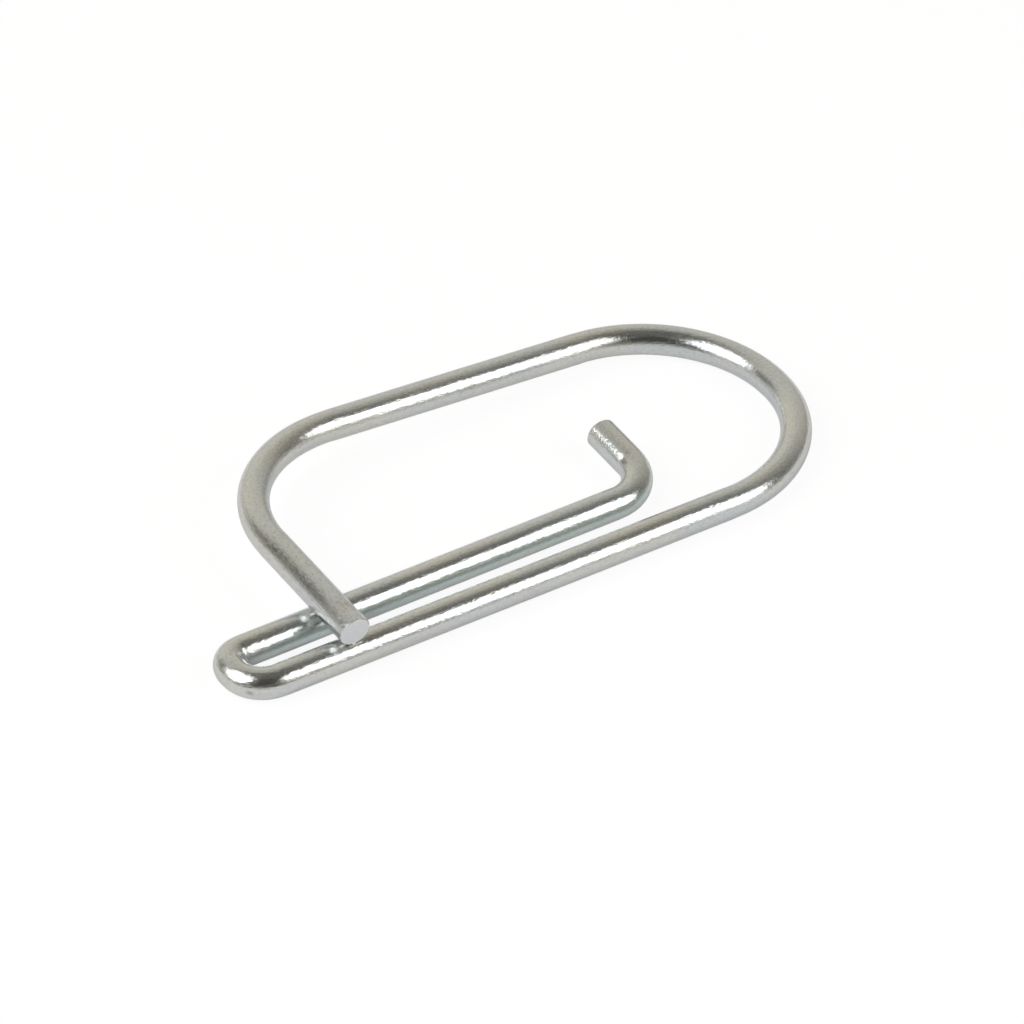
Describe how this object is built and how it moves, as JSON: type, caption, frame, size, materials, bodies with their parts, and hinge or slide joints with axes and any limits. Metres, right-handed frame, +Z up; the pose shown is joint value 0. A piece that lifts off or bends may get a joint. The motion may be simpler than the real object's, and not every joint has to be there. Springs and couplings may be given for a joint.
{
  "type": "wire hitch clip",
  "caption": "Bright zinc-plated wire clip bent from one length of round wire: a hooked pin leg, an outer leg beside it and a closed loop whose cut end lies across both legs.",
  "frame": {"origin": "middle of the clip's footprint, on the surface that it lies on", "axes": "+X along the outer leg from the leg bend to the crown of the loop, +Y across the loop from the legs to the top run, +Z up, the side on which the arm crosses the legs"},
  "size_m": [0.1102, 0.0502, 0.0101],
  "materials": {
    "zinc_plated_wire": "bright zinc plating over drawn steel wire, smooth and glossy with fine drawing streaks"
  },
  "bodies": {
    "root": {"wire_clip": "zinc_plated_wire"}
  },
  "joints": []
}
